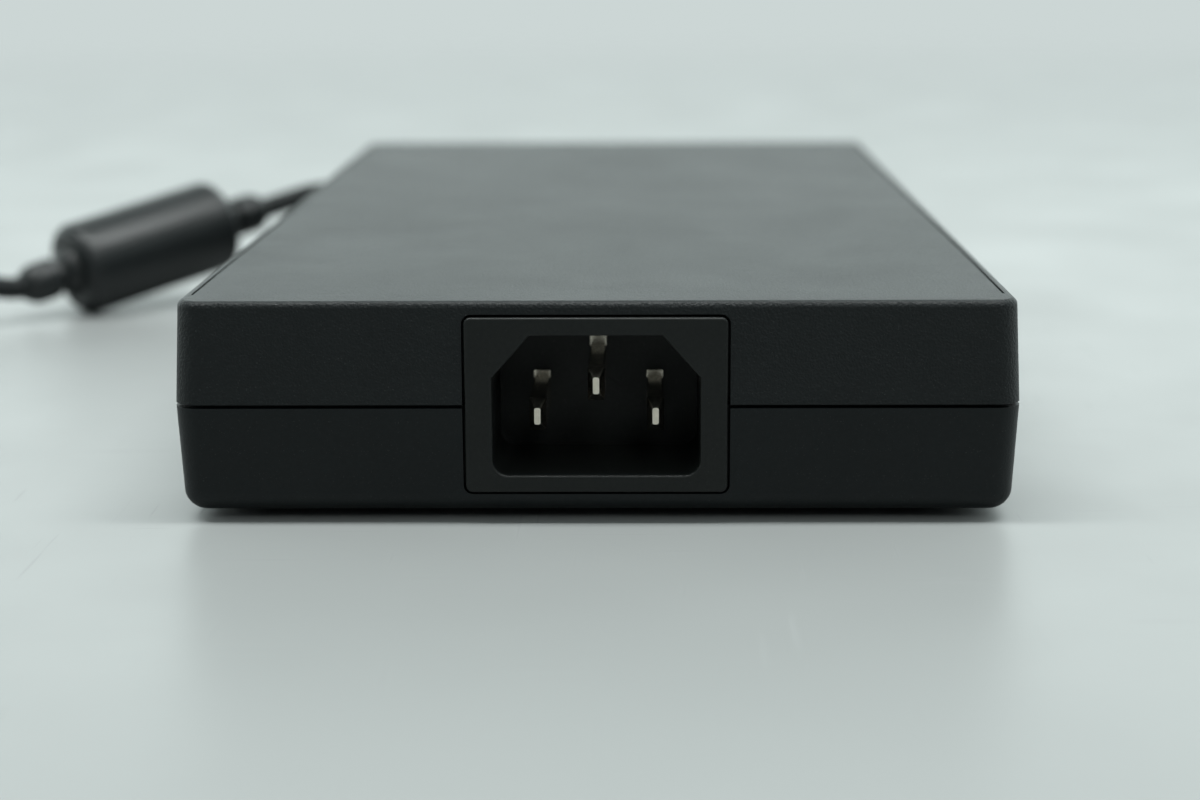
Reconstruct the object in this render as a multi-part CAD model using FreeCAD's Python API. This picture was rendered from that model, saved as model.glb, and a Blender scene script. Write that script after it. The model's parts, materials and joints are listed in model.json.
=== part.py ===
import FreeCAD, Part
import math
import os

from FreeCAD import Vector

# A slim laptop power adapter with an earthed inlet socket at one end and a captive output cable at the other.
# Millimetres. The origin is the middle of the casing's footprint on the surface it rests on. +Z is up, the
# inlet faces -Y, and the output cable leaves the casing towards +Y.

# ---- casing ----------------------------------------------------------------------------------------------
CASE_LENGTH = 200.0  # at the parting line
CASE_WIDTH = 99.9  # at the parting line
UNDERSIDE_Z = 1.2
TOP_Z = 26.6
PARTING_Z = 14.17
SHADOW_GAP = 0.44
UPPER_DRAFT = 0.55  # how far each upper wall leans in by the top
LOWER_DRAFT = 0.60
CORNER_RADIUS = 3.0
TOP_EDGE_RADIUS = 0.8
BOTTOM_EDGE_RADIUS = 2.5
WALL = 2.2
TONGUE_WALL = 1.05
TONGUE_HEIGHT = 1.6
TONGUE_CLEARANCE = 0.1

TOP_GROOVE_X = 48.2
TOP_GROOVE_WIDTH = 0.3
TOP_GROOVE_DEPTH = 0.5
TOP_GROOVE_END_MARGIN = 5.9

FOOT_RADIUS = 5.0
FOOT_POCKET_DEPTH = 0.5
FOOT_CLEARANCE = 0.15
FOOT_X = 40.0
FOOT_Y = 88.0

LABEL_WIDTH = 66.0
LABEL_LENGTH = 104.0
LABEL_THICKNESS = 0.2
LABEL_RECESS = 0.3
LABEL_MARGIN = 0.4

# ---- inlet socket (the C14 shape of IEC 60320) -----------------------------------------------------------
INLET_Z = 14.27  # middle of the bezel
BEZEL_WIDTH = 30.9
BEZEL_HEIGHT = 20.95
BEZEL_RADIUS = 0.8
BEZEL_DEPTH = 2.05
BEZEL_GAP = 0.3
BEZEL_EDGE_RADIUS = 0.3
SOCKET_HALF_WIDTH = 12.25
SOCKET_FLOOR_Z = 5.84
SOCKET_ROOF_Z = 22.6
SOCKET_CHAMFER_X = 7.8
SOCKET_CHAMFER_Z = 17.55
SOCKET_CORNER_RADIUS = 1.9
SOCKET_DEPTH = 17.0
SOCKET_LIP_RADIUS = 0.3
SOCKET_SIDE_WALL = 1.2
SOCKET_BACK_WALL = 2.5
RIB_THICKNESS = 1.8
RIB_HALF_WIDTH = 17.0
BODY_CLEARANCE = 0.2

PIN_WIDTH = 2.0
PIN_HEIGHT = 4.0
PIN_EDGE_RADIUS = 0.25
PIN_SPACING = 14.0
LINE_PIN_Z = 12.6
EARTH_PIN_Z = 16.6
LINE_PIN_TIP = 2.0  # how far the tip stops behind the bezel's face
EARTH_PIN_TIP = 0.35
PIN_TAPER = 1.5
PIN_TIP_WIDTH = 0.75
PIN_TIP_HEIGHT = 2.0
PIN_SHOULDER_DEPTH = 0.5
LINE_SHOULDER = 0.75
EARTH_SHOULDER = 1.1
TAB_WIDTH = 1.0
TAB_HEIGHT = 3.2
TAB_END_Y = -76.0

# ---- inside the casing -----------------------------------------------------------------------------------
SPREADER_THICKNESS = 0.8
SPREADER_HALF_WIDTH = 46.6
SPREADER_FRONT_Y = -74.0
SPREADER_REAR_Y = 92.0
LOWER_SPREADER_Z = 3.5
LOWER_WALL_TOP = 12.0
UPPER_SPREADER_Z = 24.2
UPPER_WALL_BOTTOM = 16.0
INSULATOR_THICKNESS = 0.4
SHEET_GAP = 0.1

BOARD_HALF_WIDTH = 45.0
BOARD_FRONT_Y = -93.0
BOARD_REAR_Y = 90.0
BOARD_BOTTOM = 6.4
BOARD_TOP = 8.0
BOARD_NOTCH_HALF_WIDTH = 17.5
BOARD_NOTCH_REAR_Y = -78.0
POST_RADIUS = 2.0
POST_HOLE_RADIUS = 2.4
POST_X = 41.0
POST_YS = (-60.0, 14.0, 70.0)
STAND_OFF = 0.05

BULK_RADIUS = 8.3
BULK_LENGTH = 37.0
BULK_PITCH = 17.2
BULK_CENTRE = Vector(19.0, -10.0, 13.4)

# ---- output cable ----------------------------------------------------------------------------------------
CABLE_RADIUS = 2.0
CABLE_REST_Z = 2.05
JOINT_CLEARANCE = 0.05
JOINT_SETBACK = 0.8

EXIT_X = -25.0
EXIT_Z = PARTING_Z
EXIT_HOLE_RADIUS = 4.5
EXIT_NECK_RADIUS = 4.4
EXIT_FLANGE_RADIUS = 6.2
EXIT_COLLAR_RADIUS = 5.2
EXIT_CORE_RADIUS = 2.7
EXIT_PIVOTS_Y = (103.4, 111.4)
EXIT_TIP_Y = 121.0
EXIT_RING_RADIUS = 4.8
EXIT_SLOT = 0.9  # half of the slot at each flexing point

EXIT_LOOP_RADIUS = 15.5
STRAIGHT_END = 3.5

FERRITE_NEAR_END = Vector(-98.7, 47.8, 8.05)
FERRITE_HEADING = 41.0  # degrees from +X, from the near end to the far end
FERRITE_TILT = 11.2
FERRITE_LENGTH = 32.0
FERRITE_RADIUS = 8.6
FERRITE_END_RADIUS = 2.4
FERRITE_CORE_RADIUS = 7.3
FERRITE_CORE_LENGTH = 26.4
FERRITE_BORE_RADIUS = 2.6
RELIEF_LENGTH = 10.0
LIFT_PIVOT_GAP = 5.0  # from the far relief to the pivot behind it
SWING_PIVOT_GAP = 4.7

LINK_LENGTH = 9.0
LINK_HEADING = 209.0
LINK_TILT = -4.5

COIL_CENTRE_X = -141.5
COIL_NORTH_Y = 3.0  # centre of the far half-circles
COIL_SOUTH_Y = -29.0
COIL_RADIUS = 29.0
COIL_PITCH = 4.4
COIL_TURNS = 4
CROSSING_Z = 6.4

PLUG_AXIS_Z = 6.0
PLUG_PIVOTS_Y = (-66.5, -73.5)
PLUG_RELIEF_RADIUS = 3.4
PLUG_RADIUS = 5.75
PLUG_LENGTH = 24.0
BARREL_RADIUS = 3.7  # a 7.4 mm barrel with a 5.0 mm bore
BARREL_NECK_RADIUS = 3.4  # where the grip is moulded round it
BARREL_NECK_LENGTH = 0.1  # how far the neck shows in front of the grip
BARREL_BORE_RADIUS = 2.5
BARREL_LENGTH = 11.5
BARREL_WALL = 0.45
BARREL_INSET = 6.0
SIGNAL_PIN_RADIUS = 0.3
SLEEVE_CLEARANCE = 0.02

FRONT_Y = -CASE_LENGTH / 2
REAR_Y = CASE_LENGTH / 2
UP = Vector(0, 0, 1)
FORWARD = Vector(0, 1, 0)
FULL_TURN = 360.0


# ---- basic shapes ----------------------------------------------------------------------------------------
def block(x0, x1, y0, y1, z0, z1):
    return Part.makeBox(x1 - x0, y1 - y0, z1 - z0, Vector(x0, y0, z0))


def standing_block(x, y, width, length, height, base=BOARD_TOP + STAND_OFF):
    return block(x - width / 2, x + width / 2, y - length / 2, y + length / 2, base, base + height)


def rod(start, direction, length, radius):
    return Part.makeCylinder(radius, length, start, direction)


def ball(centre, radius):
    return Part.makeSphere(radius, centre, Vector(0.3, 0.2, 1.0))


def union(shapes):
    first, *others = shapes
    return first.multiFuse(others).removeSplitter() if others else first


def group(shapes):
    return Part.makeCompound(list(shapes))


def mirrored(shape):
    """The same shape on the other side of the middle plane X = 0."""
    return shape.mirror(Vector(0, 0, 0), Vector(1, 0, 0))


def heading(degrees, tilt=0.0):
    """A unit vector at this angle from +X, raised by the tilt."""
    turn, rise = math.radians(degrees), math.radians(tilt)
    return Vector(math.cos(rise) * math.cos(turn), math.cos(rise) * math.sin(turn), math.sin(rise))


def turned(profile, start, direction):
    """A solid of revolution. The profile is (distance along the axis, radius) from one end to the other."""
    points = [Vector(0, 0, profile[0][0])]
    points += [Vector(radius, 0, distance) for distance, radius in profile]
    points += [Vector(0, 0, profile[-1][0]), points[0]]
    corners = [p for i, p in enumerate(points) if i == 0 or (p - points[i - 1]).Length > 1e-6]
    shape = Part.Face(Part.makePolygon(corners)).revolve(Vector(0, 0, 0), UP, FULL_TURN)
    shape.Placement = FreeCAD.Placement(start, FreeCAD.Rotation(UP, direction))
    return Part.Solid(shape) if shape.ShapeType == "Shell" else shape


def rounded_rectangle(half_width, half_length, radius, z):
    """A closed wire in the plane at height z, with rounded corners."""
    inner_x, inner_y = half_width - radius, half_length - radius
    slant = radius * math.sqrt(0.5)
    edges = []
    for quarter in range(4):
        turn = FreeCAD.Rotation(UP, 90.0 * quarter)
        wide, long = (inner_x, inner_y) if quarter % 2 == 0 else (inner_y, inner_x)
        side_start = turn.multVec(Vector(wide + radius, -long, 0))
        side_end = turn.multVec(Vector(wide + radius, long, 0))
        arc_middle = turn.multVec(Vector(wide + slant, long + slant, 0))
        arc_end = turn.multVec(Vector(wide, long + radius, 0))
        lift = Vector(0, 0, z)
        edges.append(Part.LineSegment(side_start + lift, side_end + lift).toShape())
        edges.append(Part.Arc(side_end + lift, arc_middle + lift, arc_end + lift).toShape())
    return Part.Wire(edges)


def drafted_block(half_width, half_length, radius, z0, z1, lean0=0.0, lean1=0.0):
    """A rounded block whose sides stand lean0 inside the stated size at z0 and lean1 inside it at z1."""
    wires = [
        rounded_rectangle(half_width - lean, half_length - lean, radius, z)
        for z, lean in ((z0, lean0), (z1, lean1))
    ]
    return Part.makeLoft(wires, True, True)


def edges_at_height(shape, z):
    return [e for e in shape.Edges if all(abs(v.Point.z - z) < 1e-5 for v in e.Vertexes)]


def upright_plate(outline, y0, y1):
    """A closed outline in the X-Z plane, pushed from y0 to y1."""
    face = Part.Face(outline)
    face.translate(Vector(0, y0, 0))
    return face.extrude(Vector(0, y1 - y0, 0))


def facing_rectangle(half_width, half_height, radius, centre_x, centre_z):
    """A rounded rectangle standing in the X-Z plane."""
    wire = rounded_rectangle(half_width, half_height, radius, 0.0)
    wire.rotate(Vector(0, 0, 0), Vector(1, 0, 0), 90.0)
    wire.translate(Vector(centre_x, 0, centre_z))
    return wire


def pipe(path, radius):
    """A round cable along an open wire whose pieces run on smoothly."""
    first = path.Edges[0]
    start = first.valueAt(first.FirstParameter)
    tangent = first.tangentAt(first.FirstParameter)
    section = Part.Wire([Part.makeCircle(radius, start, tangent)])
    return path.makePipeShell([section], True, False)


def curve(points, start_tangent, end_tangent):
    spline = Part.BSplineCurve()
    spline.interpolate(Points=points, InitialTangent=start_tangent, FinalTangent=end_tangent)
    return spline.toShape()


def with_ball(shape, pivot, radius):
    """The moving side of a flexing point: a round end centred on the pivot."""
    return union([shape, ball(pivot, radius)])


def with_cup(shape, pivot, radius):
    """The held side of a flexing point: a hollow that lets the round end turn."""
    return shape.cut(ball(pivot, radius + JOINT_CLEARANCE))


# ---- casing ----------------------------------------------------------------------------------------------
LOWER_EDGE_Z = PARTING_Z - SHADOW_GAP / 2
UPPER_EDGE_Z = PARTING_Z + SHADOW_GAP / 2
FLOOR_Z = UNDERSIDE_Z + WALL
CEILING_Z = TOP_Z - WALL
INNER_RADIUS = CORNER_RADIUS - WALL / 2


def bezel_opening():
    outline = facing_rectangle(
        BEZEL_WIDTH / 2 + BEZEL_GAP, BEZEL_HEIGHT / 2 + BEZEL_GAP, BEZEL_RADIUS + BEZEL_GAP, 0.0, INLET_Z
    )
    return upright_plate(outline, FRONT_Y - 1.0, FRONT_Y + 2 * WALL)


def exit_hole():
    return rod(Vector(EXIT_X, REAR_Y - 2 * WALL, EXIT_Z), FORWARD, 3 * WALL, EXIT_HOLE_RADIUS)


def socket_body_height():
    return SOCKET_FLOOR_Z - SOCKET_SIDE_WALL, SOCKET_ROOF_Z + SOCKET_SIDE_WALL


def bezel_rib(z0, z1):
    """The rib inside the end wall that the bezel is pressed against."""
    half_width = SOCKET_HALF_WIDTH + SOCKET_SIDE_WALL + BODY_CLEARANCE
    low, high = socket_body_height()
    start = FRONT_Y + WALL + STAND_OFF
    rib = block(-RIB_HALF_WIDTH, RIB_HALF_WIDTH, start, start + RIB_THICKNESS, z0, z1)
    window = block(
        -half_width, half_width, start - 1, start + RIB_THICKNESS + 1,
        low - BODY_CLEARANCE, high + BODY_CLEARANCE,
    )
    return rib.cut(window)


def case_ring(z0, z1, inset, thickness):
    """A band that follows the casing's outline, from the stated inset inwards."""
    outer = drafted_block(CASE_WIDTH / 2 - inset, CASE_LENGTH / 2 - inset, INNER_RADIUS, z0, z1)
    inner = drafted_block(
        CASE_WIDTH / 2 - inset - thickness, CASE_LENGTH / 2 - inset - thickness, INNER_RADIUS, z0 - 1, z1 + 1
    )
    return outer.cut(inner)


def top_shell():
    half_width, half_length = CASE_WIDTH / 2, CASE_LENGTH / 2
    outer = drafted_block(half_width, half_length, CORNER_RADIUS, UPPER_EDGE_Z, TOP_Z, 0.0, UPPER_DRAFT)
    outer = outer.makeFillet(TOP_EDGE_RADIUS, edges_at_height(outer, TOP_Z))
    inner = drafted_block(
        half_width - WALL, half_length - WALL, INNER_RADIUS, UPPER_EDGE_Z - 1, CEILING_Z, 0.0, UPPER_DRAFT
    )
    recess_inset = WALL - TONGUE_WALL - TONGUE_CLEARANCE
    recess = drafted_block(
        half_width - recess_inset, half_length - recess_inset, INNER_RADIUS,
        UPPER_EDGE_Z - 1, LOWER_EDGE_Z + TONGUE_HEIGHT + TONGUE_CLEARANCE,
    )
    shell = outer.cut(inner).cut(recess).cut(bezel_opening())
    shell = union([shell, bezel_rib(UPPER_EDGE_Z, CEILING_Z + SHEET_GAP)])
    groove = block(
        TOP_GROOVE_X - TOP_GROOVE_WIDTH / 2, TOP_GROOVE_X + TOP_GROOVE_WIDTH / 2,
        FRONT_Y + TOP_GROOVE_END_MARGIN, REAR_Y - TOP_GROOVE_END_MARGIN,
        TOP_Z - TOP_GROOVE_DEPTH, TOP_Z + 1,
    )
    return shell.cut(group([exit_hole(), groove, mirrored(groove)]))


def foot_places():
    return [Vector(x, y, 0) for x in (-FOOT_X, FOOT_X) for y in (-FOOT_Y, FOOT_Y)]


def post_places():
    return [Vector(x, y, 0) for x in (-POST_X, POST_X) for y in POST_YS]


def bottom_shell():
    half_width, half_length = CASE_WIDTH / 2, CASE_LENGTH / 2
    outer = drafted_block(half_width, half_length, CORNER_RADIUS, UNDERSIDE_Z, LOWER_EDGE_Z, LOWER_DRAFT, 0.0)
    outer = outer.makeFillet(BOTTOM_EDGE_RADIUS, edges_at_height(outer, UNDERSIDE_Z))
    inner = drafted_block(
        half_width - WALL, half_length - WALL, INNER_RADIUS, FLOOR_Z, LOWER_EDGE_Z + 1, LOWER_DRAFT, 0.0
    )
    tongue = case_ring(LOWER_EDGE_Z, LOWER_EDGE_Z + TONGUE_HEIGHT, WALL - TONGUE_WALL, TONGUE_WALL)
    posts = [
        rod(place + Vector(0, 0, FLOOR_Z), UP, BOARD_BOTTOM - STAND_OFF - FLOOR_Z, POST_RADIUS)
        for place in post_places()
    ]
    shell = union([outer.cut(inner), tongue]).cut(bezel_opening())
    shell = union([shell, bezel_rib(FLOOR_Z - SHEET_GAP, LOWER_EDGE_Z), *posts])
    pockets = [
        rod(place, UP, UNDERSIDE_Z + FOOT_POCKET_DEPTH, FOOT_RADIUS + FOOT_CLEARANCE)
        for place in foot_places()
    ]
    half_label_x, half_label_y = LABEL_WIDTH / 2 + LABEL_MARGIN, LABEL_LENGTH / 2 + LABEL_MARGIN
    label_recess = drafted_block(half_label_x, half_label_y, CORNER_RADIUS, 0.0, UNDERSIDE_Z + LABEL_RECESS)
    return shell.cut(group([exit_hole(), label_recess, *pockets]))


def rubber_feet():
    height = UNDERSIDE_Z + FOOT_POCKET_DEPTH
    edge = 0.4
    profile = ((0, FOOT_RADIUS - edge), (edge, FOOT_RADIUS), (height, FOOT_RADIUS))
    return group(turned(profile, place, UP) for place in foot_places())


def rating_label():
    top = UNDERSIDE_Z + LABEL_RECESS
    radius = CORNER_RADIUS - LABEL_MARGIN
    return drafted_block(LABEL_WIDTH / 2, LABEL_LENGTH / 2, radius, top - LABEL_THICKNESS, top)


# ---- inlet -----------------------------------------------------------------------------------------------
def socket_outline():
    """The cavity from the front: a rectangle with two chamfered top corners and two round bottom ones."""
    x, radius = SOCKET_HALF_WIDTH, SOCKET_CORNER_RADIUS
    slant = radius * (1 - math.sqrt(0.5))
    left_top = [Vector(-x, 0, SOCKET_CHAMFER_Z), Vector(-SOCKET_CHAMFER_X, 0, SOCKET_ROOF_Z)]
    right_top = [Vector(SOCKET_CHAMFER_X, 0, SOCKET_ROOF_Z), Vector(x, 0, SOCKET_CHAMFER_Z)]
    right_low = Vector(x, 0, SOCKET_FLOOR_Z + radius)
    floor_right = Vector(x - radius, 0, SOCKET_FLOOR_Z)
    floor_left = Vector(radius - x, 0, SOCKET_FLOOR_Z)
    left_low = Vector(-x, 0, SOCKET_FLOOR_Z + radius)
    upper_corners = [*left_top, *right_top, right_low]
    edges = [Part.makeLine(a, b) for a, b in zip(upper_corners, upper_corners[1:])]
    edges.append(Part.Arc(right_low, Vector(x - slant, 0, SOCKET_FLOOR_Z + slant), floor_right).toShape())
    edges.append(Part.makeLine(floor_right, floor_left))
    edges.append(Part.Arc(floor_left, Vector(slant - x, 0, SOCKET_FLOOR_Z + slant), left_low).toShape())
    edges.append(Part.makeLine(left_low, left_top[0]))
    return Part.Wire(edges)


def edges_at_depth(shape, y):
    return [e for e in shape.Edges if all(abs(v.Point.y - y) < 1e-5 for v in e.Vertexes)]


def inlet_housing():
    outline = facing_rectangle(BEZEL_WIDTH / 2, BEZEL_HEIGHT / 2, BEZEL_RADIUS, 0.0, INLET_Z)
    bezel = upright_plate(outline, FRONT_Y, FRONT_Y + BEZEL_DEPTH)
    bezel = bezel.makeFillet(BEZEL_EDGE_RADIUS, edges_at_depth(bezel, FRONT_Y))
    half_width = SOCKET_HALF_WIDTH + SOCKET_SIDE_WALL
    low, high = socket_body_height()
    rear = FRONT_Y + SOCKET_DEPTH + SOCKET_BACK_WALL
    body = block(-half_width, half_width, FRONT_Y + BEZEL_DEPTH / 2, rear, low, high)
    cavity = upright_plate(socket_outline(), FRONT_Y - 1, FRONT_Y + SOCKET_DEPTH)
    housing = union([bezel, body]).cut(cavity)
    mouth = [
        e for e in edges_at_depth(housing, FRONT_Y)
        if all(abs(v.Point.x) < SOCKET_HALF_WIDTH + 0.01 for v in e.Vertexes)
    ]
    housing = housing.makeFillet(SOCKET_LIP_RADIUS, mouth)
    return housing.cut(group([line_pin(), neutral_pin(), earth_pin()]))


def contact_pin(x, z, tip_gap, shoulder):
    """A flat contact: tapered tip, a small shoulder at the back wall, and a solder tab behind."""
    tip_y = FRONT_Y + tip_gap
    root_y = FRONT_Y + SOCKET_DEPTH
    rear_y = root_y + SOCKET_BACK_WALL
    full = facing_rectangle(PIN_WIDTH / 2, PIN_HEIGHT / 2, PIN_EDGE_RADIUS, x, z)
    blunt = facing_rectangle(PIN_TIP_WIDTH / 2, PIN_TIP_HEIGHT / 2, PIN_EDGE_RADIUS, x, z)
    shank = upright_plate(full, tip_y + PIN_TAPER, rear_y)
    blunt.translate(Vector(0, tip_y, 0))
    full.translate(Vector(0, tip_y + PIN_TAPER, 0))
    taper = Part.makeLoft([blunt, full], True, True)
    top = z + PIN_HEIGHT / 2
    step = block(
        x - PIN_WIDTH / 2, x + PIN_WIDTH / 2, root_y - PIN_SHOULDER_DEPTH, root_y + PIN_SHOULDER_DEPTH,
        top - PIN_EDGE_RADIUS, top + shoulder,
    )
    tab = block(
        x - TAB_WIDTH / 2, x + TAB_WIDTH / 2, rear_y - 1, TAB_END_Y, z - TAB_HEIGHT / 2, z + TAB_HEIGHT / 2
    )
    return union([shank, taper, step, tab])


def line_pin():
    return contact_pin(PIN_SPACING / 2, LINE_PIN_Z, LINE_PIN_TIP, LINE_SHOULDER)


def neutral_pin():
    return contact_pin(-PIN_SPACING / 2, LINE_PIN_Z, LINE_PIN_TIP, LINE_SHOULDER)


def earth_pin():
    return contact_pin(0.0, EARTH_PIN_Z, EARTH_PIN_TIP, EARTH_SHOULDER)


def inlet_wire(x, z, end):
    """An insulated wire from a solder tab down to the board."""
    start = Vector(x, TAB_END_Y + STAND_OFF, z)
    finish = Vector(end[0], end[1], BOARD_TOP + STAND_OFF)
    return pipe(Part.Wire([curve([start, finish], FORWARD * 12, UP * -12)]), 1.1)


# ---- heat spreaders, insulators and board ----------------------------------------------------------------
def folded_sheet(half_width, base, wall_end, thickness, front=SPREADER_FRONT_Y, rear=SPREADER_REAR_Y):
    """A sheet folded along both long sides. Its walls run from the base to wall_end, above it or below it."""
    upwards = wall_end > base
    low, high = (base, base + thickness) if upwards else (base - thickness, base)
    floor = block(-half_width, half_width, front, rear, low, high)
    wall_low, wall_high = min(base, wall_end), max(base, wall_end)
    side = block(half_width - thickness, half_width, front, rear, wall_low, wall_high)
    return union([floor, side, mirrored(side)])


def post_holes():
    return group(rod(place, UP, BOARD_BOTTOM - STAND_OFF, POST_HOLE_RADIUS) for place in post_places())


def lower_heat_spreader():
    sheet = folded_sheet(SPREADER_HALF_WIDTH, LOWER_SPREADER_Z, LOWER_WALL_TOP, SPREADER_THICKNESS)
    return sheet.cut(post_holes())


def lower_insulator():
    base = LOWER_SPREADER_Z + SPREADER_THICKNESS + SHEET_GAP
    half_width = SPREADER_HALF_WIDTH - SPREADER_THICKNESS - SHEET_GAP
    return folded_sheet(half_width, base, LOWER_WALL_TOP, INSULATOR_THICKNESS).cut(post_holes())


def upper_heat_spreader():
    return folded_sheet(SPREADER_HALF_WIDTH, UPPER_SPREADER_Z, UPPER_WALL_BOTTOM, SPREADER_THICKNESS)


def upper_insulator():
    base = UPPER_SPREADER_Z - SPREADER_THICKNESS - SHEET_GAP
    half_width = SPREADER_HALF_WIDTH - SPREADER_THICKNESS - SHEET_GAP
    return folded_sheet(half_width, base, UPPER_WALL_BOTTOM, INSULATOR_THICKNESS)


def main_board():
    half = BOARD_HALF_WIDTH
    board = block(-half, half, BOARD_FRONT_Y, BOARD_REAR_Y, BOARD_BOTTOM, BOARD_TOP)
    notch = block(
        -BOARD_NOTCH_HALF_WIDTH, BOARD_NOTCH_HALF_WIDTH, BOARD_FRONT_Y - 1, BOARD_NOTCH_REAR_Y,
        BOARD_BOTTOM - 1, BOARD_TOP + 1,
    )
    half_bay = 1.5 * BULK_PITCH + 0.5
    bay = block(
        BULK_CENTRE.x - half_bay, BULK_CENTRE.x + half_bay,
        BULK_CENTRE.y - BULK_LENGTH / 2 - 1, BULK_CENTRE.y + BULK_LENGTH / 2 + 1,
        BOARD_BOTTOM - 1, BOARD_TOP + 1,
    )
    return board.cut(group([notch, bay]))


# ---- components on the board -----------------------------------------------------------------------------
LEAD_RADIUS = 0.4
LEAD_RISE = 1.2
SEAT_Z = BOARD_TOP + STAND_OFF


def legs(places, rise=LEAD_RISE):
    return [rod(Vector(x, y, SEAT_Z), UP, rise + 0.3, LEAD_RADIUS) for x, y in places]


def fuse():
    x, y, length = -38.0, -78.0, 20.0
    z = SEAT_Z + 3.8
    middle = rod(Vector(x, y - length / 2, z), FORWARD, length, 2.5)
    caps = [rod(Vector(x, y - length / 2 + shift, z), FORWARD, 5.0, 3.0) for shift in (0.0, length - 5.0)]
    return union([middle, *caps, *legs([(x, y - 8.0), (x, y + 8.0)], 2.0)])


def standing_disc(x, y, radius, thickness):
    """A round component standing on two leads, its flat faces towards the ends of the casing."""
    centre = Vector(x, y - thickness / 2, SEAT_Z + LEAD_RISE + radius)
    return union([rod(centre, FORWARD, thickness, radius), *legs([(x - 2.5, y), (x + 2.5, y)], 2.5)])


def film_capacitor(x, y, width, length, height):
    shape = standing_block(x, y, width, length, height)
    return shape.makeFillet(0.8, [e for e in shape.Edges if abs(e.tangentAt(e.FirstParameter).z) > 0.99])


def ring_core(x, y, outer, inner, height, base=SEAT_Z + 1.0):
    place = Vector(x, y, base)
    return rod(place, UP, height, outer).cut(rod(place, UP, height, inner))


def ring_winding(x, y, outer, inner, height, thickness, base=SEAT_Z + 1.0):
    """Two banks of wire wound round a ring core, drawn as two sleeves with a gap between them."""
    sleeve = ring_core(x, y, outer + thickness, inner - thickness, height + 2 * thickness, base - thickness)
    core = ring_core(x, y, outer + STAND_OFF, inner - STAND_OFF, height + 2 * STAND_OFF, base - STAND_OFF)
    gap = standing_block(x, y, 5.0, 2 * outer + 6, height + 8, base - 2)
    return group(sleeve.cut(core).cut(gap).Solids)


CHOKE_PLACES = ((29.0, -66.0), (-4.0, -48.0))
CHOKE_RING = (8.4, 4.6, 8.5)


def common_mode_choke_cores():
    return group(ring_core(x, y, *CHOKE_RING) for x, y in CHOKE_PLACES)


def common_mode_choke_windings():
    sleeves = [s for x, y in CHOKE_PLACES for s in ring_winding(x, y, *CHOKE_RING, thickness=0.9).Solids]
    return group(sleeves)


def pot_core(x, y, width, length, height, leg_radius, window_radius, window_height):
    """Two facing ferrite halves round an upright centre leg, open at both ends."""
    outer = standing_block(x, y, width, length, height)
    window_base = SEAT_Z + (height - window_height) / 2
    place = Vector(x, y, window_base)
    window = rod(place, UP, window_height, window_radius)
    mouth = standing_block(x, y, window_radius * 1.5, length + 2, window_height, window_base)
    leg = rod(place, UP, window_height, leg_radius)
    core = outer.cut(union([window, mouth]).cut(leg))
    seam = standing_block(x, y, width + 2, length + 2, 0.1, SEAT_Z + height / 2 - 0.05)
    return group(core.cut(seam).Solids)


def wound_ring(x, y, inner, outer, base, height, bands):
    """A coil round an upright leg, its outside crowned where each layer of wire lies."""
    step = height / bands
    profile = [(0.0, outer - 0.3)]
    for band in range(bands):
        profile += [((band + 0.5) * step, outer), ((band + 1) * step, outer - 0.3)]
    return turned(profile, Vector(x, y, base), UP).cut(rod(Vector(x, y, base), UP, height, inner))


PFC_CORE = {
    "x": -28.6, "y": -9.0, "width": 30.0, "length": 27.0, "height": 13.4,
    "leg_radius": 5.5, "window_radius": 11.5, "window_height": 8.0,
}
TRANSFORMER_CORE = {
    "x": 2.0, "y": 36.0, "width": 36.0, "length": 32.0, "height": 13.4,
    "leg_radius": 6.5, "window_radius": 14.2, "window_height": 8.4,
}


def core_winding(core, margin, bands):
    base = SEAT_Z + (core["height"] - core["window_height"]) / 2 + margin
    height = core["window_height"] - 2 * margin
    inner, outer = core["leg_radius"] + 1.2, core["window_radius"] - 0.6
    return wound_ring(core["x"], core["y"], inner, outer, base, height, bands)


def transformer_bobbin():
    core = TRANSFORMER_CORE
    base = SEAT_Z + (core["height"] - core["window_height"]) / 2 + 0.1
    height = core["window_height"] - 0.2
    flange, tube = core["window_radius"] - 0.4, core["leg_radius"] + 1.1
    rim = 0.8
    profile = (
        (0, flange), (rim, flange), (rim, tube),
        (height - rim, tube), (height - rim, flange), (height, flange),
    )
    place = Vector(core["x"], core["y"], base)
    return turned(profile, place, UP).cut(rod(place, UP, height, core["leg_radius"] + 0.15))


def bulk_capacitors():
    """Three lying cans with a crimped groove near the lead end and leads bent down to the board."""
    cans = []
    for index in (-1, 0, 1):
        start = BULK_CENTRE + Vector(index * BULK_PITCH, -BULK_LENGTH / 2, 0)
        groove, full = BULK_RADIUS - 0.8, BULK_RADIUS
        profile = ((0, full - 0.6), (0.6, full), (2.4, full), (3.2, groove), (4.0, full), (BULK_LENGTH, full))
        cans.append(turned(profile, start, FORWARD))
    return group(cans)


def power_transistors(places):
    """Flat-backed power packages standing on their leads."""
    bodies = []
    for x, y in places:
        body = standing_block(x, y, 4.4, 10.0, 11.0, SEAT_Z + LEAD_RISE)
        bodies.append(union([body, *legs([(x, y - 2.5), (x, y), (x, y + 2.5)])]))
    return group(bodies)


def heat_sink(x, y, length, fins=0):
    plate = standing_block(x, y, 1.6, length, 13.0)
    step = length / (fins + 1)
    blades = [standing_block(x + 2.2, y - length / 2 + step * (i + 1), 3.2, 1.0, 13.0) for i in range(fins)]
    return union([plate, *blades])


def chips():
    """Control circuits in small flat packages on the board."""
    places = ((-37.0, 20.0), (-37.0, 32.0), (39.5, 24.0))
    return group(standing_block(x, y, 4.0, 8.0, 1.6) for x, y in places)


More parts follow.
